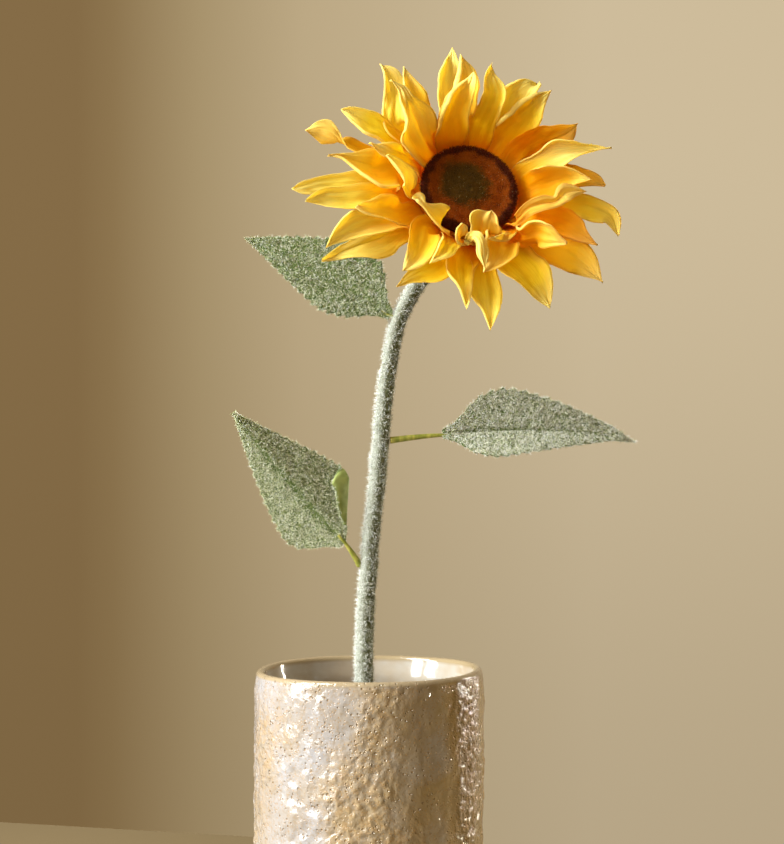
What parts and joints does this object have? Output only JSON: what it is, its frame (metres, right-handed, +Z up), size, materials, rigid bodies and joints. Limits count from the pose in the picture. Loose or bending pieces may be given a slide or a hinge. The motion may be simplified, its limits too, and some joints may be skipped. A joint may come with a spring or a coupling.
{
  "type": "artificial sunflower in a vase",
  "caption": "Artificial sunflower with a flocked stem, serrated leaves and a curled cloth flower head, standing in an open cylindrical vase of rough glazed stoneware.",
  "frame": {"origin": "middle of the vase's flat underside, which stands on the ground plane", "axes": "+Z up along the vase's axis; the flower faces -Y, +X is to the right of a viewer who looks along +Y"},
  "size_m": [0.1895, 0.2029, 0.4514],
  "materials": {
    "stoneware": "satin",
    "stem_flock": "matte",
    "leaf_flock": "matte",
    "stalk_plastic": "satin",
    "petal_cloth": "satin",
    "disc_plush": "matte"
  },
  "bodies": {
    "root": {"vase": "stoneware", "stem": "stem_flock", "petals_back": "petal_cloth", "petals_middle": "petal_cloth", "petals_front": "petal_cloth", "sepals": "leaf_flock", "seed_disc": "disc_plush", "flower_cup": "stalk_plastic", "leaf_upper_left": "leaf_flock", "leaf_upper_left_stalk": "stalk_plastic", "leaf_lower_left": "leaf_flock", "leaf_lower_left_stalk": "stalk_plastic", "leaf_right": "leaf_flock", "leaf_right_stalk": "stalk_plastic"}
  },
  "joints": []
}
